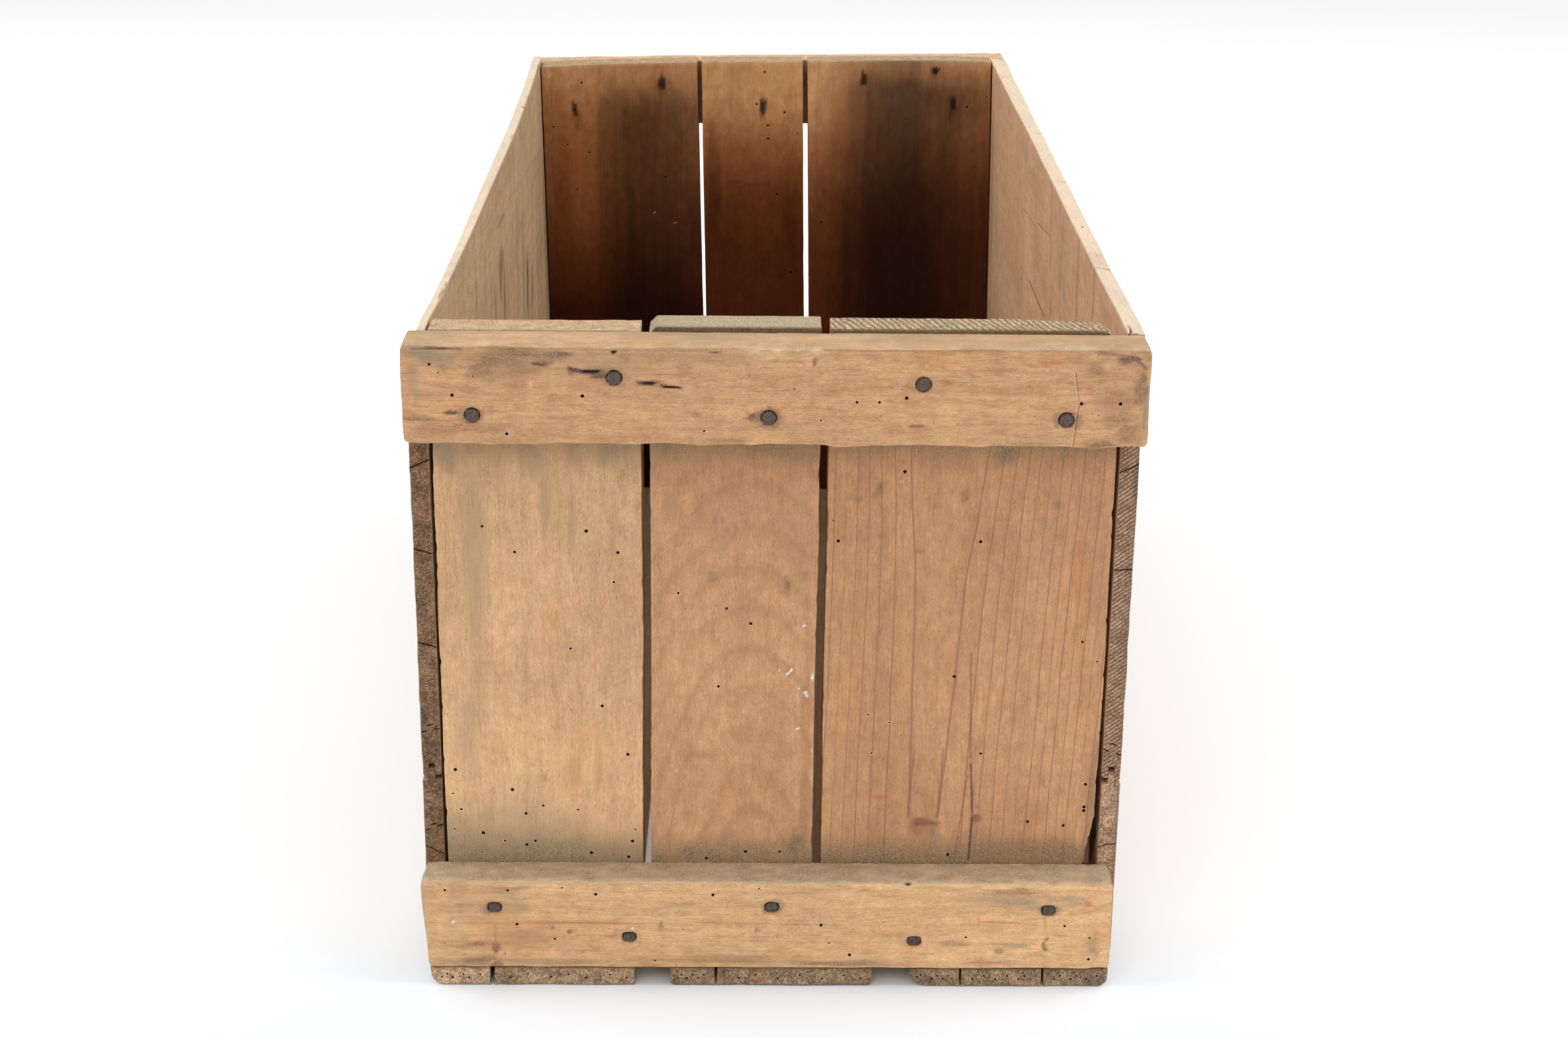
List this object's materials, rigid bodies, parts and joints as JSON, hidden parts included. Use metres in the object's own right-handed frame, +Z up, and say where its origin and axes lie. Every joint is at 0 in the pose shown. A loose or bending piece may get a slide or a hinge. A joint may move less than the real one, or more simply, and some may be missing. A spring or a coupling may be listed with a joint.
{
  "type": "wooden apple crate",
  "caption": "Old open-topped wooden orchard crate with boarded ends, outside battens at rim and foot, tongue-and-groove side walls, spaced bottom boards and iron nails.",
  "frame": {"origin": "on the ground under the middle of the crate", "axes": "+Z up, Y along the crate with the front end at -Y, X across it"},
  "size_m": [0.318, 0.702, 0.31],
  "materials": {
    "front_board_wood": "bare weathered softwood",
    "rear_board_wood": "bare weathered softwood",
    "batten_wood": "bare weathered softwood",
    "wall_wood": "bare weathered softwood",
    "bottom_wood": "bare weathered softwood",
    "wire_nail_iron": "dark oxidised iron",
    "cut_nail_iron": "dark oxidised iron"
  },
  "bodies": {
    "root": {"front_end_board_left": "front_board_wood", "front_end_board_centre": "front_board_wood", "front_end_board_right": "front_board_wood", "rear_end_board_left": "rear_board_wood", "rear_end_board_centre": "rear_board_wood", "rear_end_board_right": "rear_board_wood", "front_upper_batten": "batten_wood", "front_lower_batten": "batten_wood", "rear_upper_batten": "batten_wood", "rear_lower_batten": "batten_wood", "left_wall_upper_board": "wall_wood", "left_wall_lower_board": "wall_wood", "right_wall_upper_board": "wall_wood", "right_wall_lower_board": "wall_wood", "bottom_board_left": "bottom_wood", "bottom_board_centre": "bottom_wood", "bottom_board_right": "bottom_wood", "front_upper_batten_nails": "wire_nail_iron", "rear_upper_batten_nails": "wire_nail_iron", "left_wall_front_nails": "wire_nail_iron", "left_wall_rear_nails": "wire_nail_iron", "right_wall_front_nails": "wire_nail_iron", "right_wall_rear_nails": "wire_nail_iron", "bottom_front_nails": "wire_nail_iron", "bottom_rear_nails": "wire_nail_iron", "front_lower_batten_nails": "cut_nail_iron", "rear_lower_batten_nails": "cut_nail_iron"}
  },
  "joints": []
}
